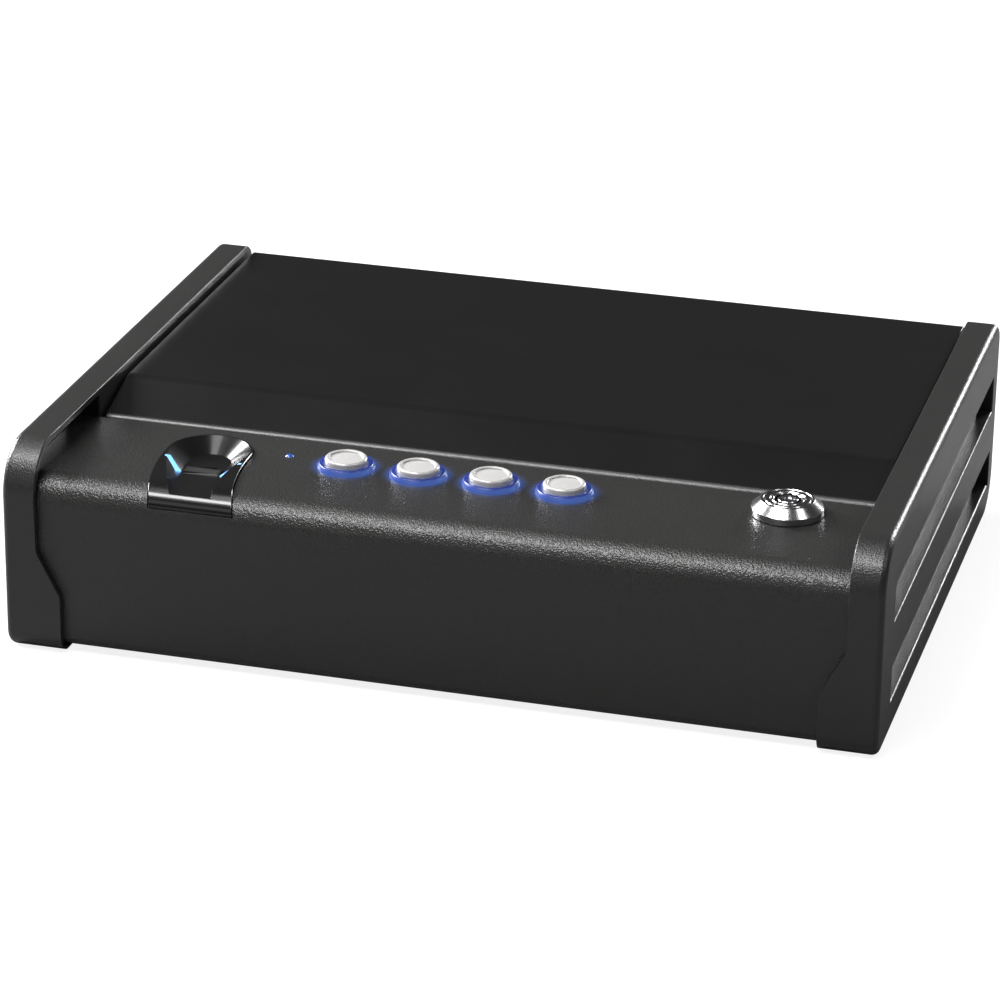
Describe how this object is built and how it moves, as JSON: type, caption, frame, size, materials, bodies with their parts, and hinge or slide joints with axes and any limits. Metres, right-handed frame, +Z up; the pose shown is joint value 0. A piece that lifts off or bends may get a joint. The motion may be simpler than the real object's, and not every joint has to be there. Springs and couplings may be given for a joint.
{
  "type": "biometric safe",
  "caption": "Low steel safe with a spring-lift lid, fingerprint reader, lit push buttons, a tubular key override and a motor latch between two moulded end caps.",
  "frame": {"origin": "middle of the footprint, on the surface the two soles rest on", "axes": "+X to the right seen from the front, +Y to the rear, +Z up; the reader and buttons face -Y and up"},
  "size_m": [0.31, 0.235, 0.0753],
  "materials": {
    "cap_plastic": "black moulded plastic, satin",
    "grained_plastic": "black moulded plastic with a leather grain",
    "lid_paint": "satin black powder coat on steel",
    "base_paint": "black powder coat on steel",
    "foam": "dark grey closed-cell foam",
    "zinc_steel": "zinc-plated steel",
    "spring_steel": "spring steel",
    "chrome": "bright chrome plate",
    "gloss_black": "polished black plastic",
    "sensor_metal": "pale sensor window and module",
    "blue_lens": "blue lit lens",
    "pearl_plastic": "pearl white plastic",
    "black_plastic": "black plastic",
    "board_green": "green circuit board",
    "cell_jacket": "printed metal jacket, left plain"
  },
  "bodies": {
    "base": {"base_shell": "base_paint", "battery_box": "black_plastic", "battery_cell_1": "cell_jacket", "battery_cell_2": "cell_jacket", "battery_cell_3": "cell_jacket", "battery_cell_4": "cell_jacket", "bulkhead": "base_paint", "button_ring_1": "blue_lens", "button_ring_2": "blue_lens", "button_ring_3": "blue_lens", "button_ring_4": "blue_lens", "button_switch_1": "black_plastic", "button_switch_2": "black_plastic", "button_switch_3": "black_plastic", "button_switch_4": "black_plastic", "cap_left": "cap_plastic", "cap_right": "cap_plastic", "circuit_board": "board_green", "floor_foam": "foam", "front_housing": "grained_plastic", "hinge_base_left": "zinc_steel", "hinge_base_right": "zinc_steel", "hinge_pin_left": "zinc_steel", "hinge_pin_right": "zinc_steel", "hinge_spring_left": "spring_steel", "hinge_spring_right": "spring_steel", "latch_guide_left": "black_plastic", "latch_guide_right": "black_plastic", "latch_motor": "black_plastic", "latch_spring": "spring_steel", "lock_barrel": "chrome", "lock_bezel": "chrome", "lock_nut": "zinc_steel", "reader_bezel": "gloss_black", "reader_light_left": "blue_lens", "reader_light_right": "blue_lens", "reader_sensor": "sensor_metal", "status_light": "blue_lens"},
    "lid": {"lid_panel": "lid_paint", "lid_foam": "foam", "hinge_lid_left": "zinc_steel", "hinge_lid_right": "zinc_steel", "striker_left": "zinc_steel", "striker_right": "zinc_steel"},
    "latch": {"latch_bar": "zinc_steel", "latch_bolt_left": "zinc_steel", "latch_bolt_right": "zinc_steel"},
    "motor_drive": {"motor_cam": "zinc_steel"},
    "key_drive": {"lock_plug": "chrome", "lock_cam": "zinc_steel"},
    "battery_cover": {"battery_door": "black_plastic"},
    "button_cap_1": {"button_1": "pearl_plastic"},
    "button_cap_2": {"button_2": "pearl_plastic"},
    "button_cap_3": {"button_3": "pearl_plastic"},
    "button_cap_4": {"button_4": "pearl_plastic"}
  },
  "joints": [
    {"name": "lid_hinge", "type": "hinge", "parent": "base", "child": "lid", "pos_m": [0, 0.113, 0.0664], "axis": [-1, 0, 0], "range_deg": [0, 75], "deforming": ["hinge_spring_left", "hinge_spring_right"]},
    {"name": "latch_slide", "type": "slide", "parent": "base", "child": "latch", "axis": [1, 0, 0], "range_m": [0, 0.00707], "deforming": ["latch_spring"]},
    {"name": "motor_cam_turn", "type": "hinge", "parent": "base", "child": "motor_drive", "pos_m": [0.06, -0.0672, 0.0443], "axis": [0, 0, -1], "range_deg": [0, 90]},
    {"name": "key_turn", "type": "hinge", "parent": "base", "child": "key_drive", "pos_m": [0.1116, -0.0672, 0.0443], "axis": [0, 0, -1], "range_deg": [0, 90]},
    {"name": "battery_door_hinge", "type": "hinge", "parent": "base", "child": "battery_cover", "pos_m": [0, -0.0387, 0.012], "axis": [-1, 0, 0], "range_deg": [0, 90]},
    {"name": "button_press_1", "type": "slide", "parent": "base", "child": "button_cap_1", "axis": [0, 0, -1], "range_m": [0, 0.001], "stiffness_N_per_m": 400, "springref_m": -0.0005},
    {"name": "button_press_2", "type": "slide", "parent": "base", "child": "button_cap_2", "axis": [0, 0, -1], "range_m": [0, 0.001], "stiffness_N_per_m": 400, "springref_m": -0.0005},
    {"name": "button_press_3", "type": "slide", "parent": "base", "child": "button_cap_3", "axis": [0, 0, -1], "range_m": [0, 0.001], "stiffness_N_per_m": 400, "springref_m": -0.0005},
    {"name": "button_press_4", "type": "slide", "parent": "base", "child": "button_cap_4", "axis": [0, 0, -1], "range_m": [0, 0.001], "stiffness_N_per_m": 400, "springref_m": -0.0005}
  ],
  "couplings": [
    {"joint": "motor_cam_turn", "follows": "latch_slide", "rad_per_m": 222.14},
    {"joint": "key_turn", "follows": "latch_slide", "rad_per_m": 222.14}
  ]
}
